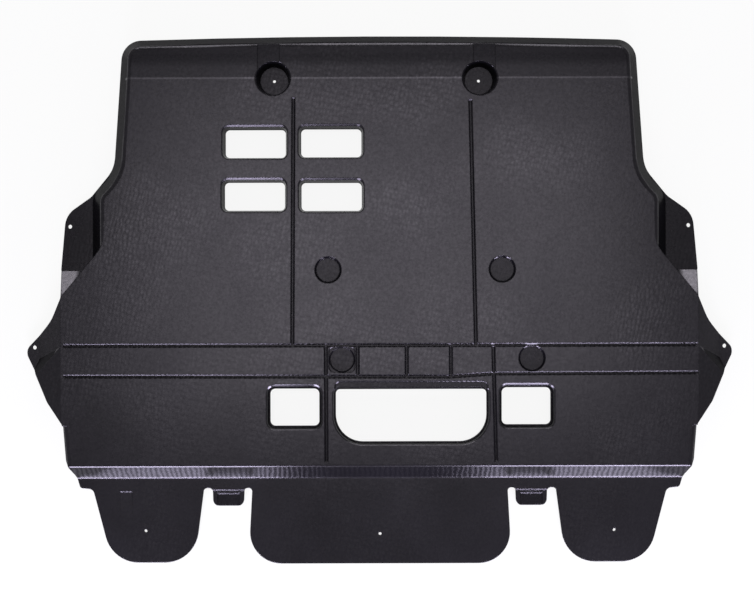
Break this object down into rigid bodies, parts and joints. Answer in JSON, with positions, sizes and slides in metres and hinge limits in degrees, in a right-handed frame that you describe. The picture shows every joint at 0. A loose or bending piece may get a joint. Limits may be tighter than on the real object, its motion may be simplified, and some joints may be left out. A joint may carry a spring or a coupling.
{
  "type": "engine splash shield",
  "caption": "Shallow vacuum-formed plastic undershield with a bent rim, sunk fixing cups, cut openings, pressed grooves, folded side ears and front tongues.",
  "frame": {"origin": "on the resting plane, below the middle of the sheet's length and width", "axes": "+X across the car, towards the picture's right; +Y along the car, towards the rim with the fixing cups; +Z out of the road face, away from the engine"},
  "size_m": [0.9716, 0.7266, 0.028],
  "materials": {
    "black_sheet": "satin black sheet with a fine moulded-in grain"
  },
  "bodies": {
    "root": {"splash_shield": "black_sheet"}
  },
  "joints": []
}
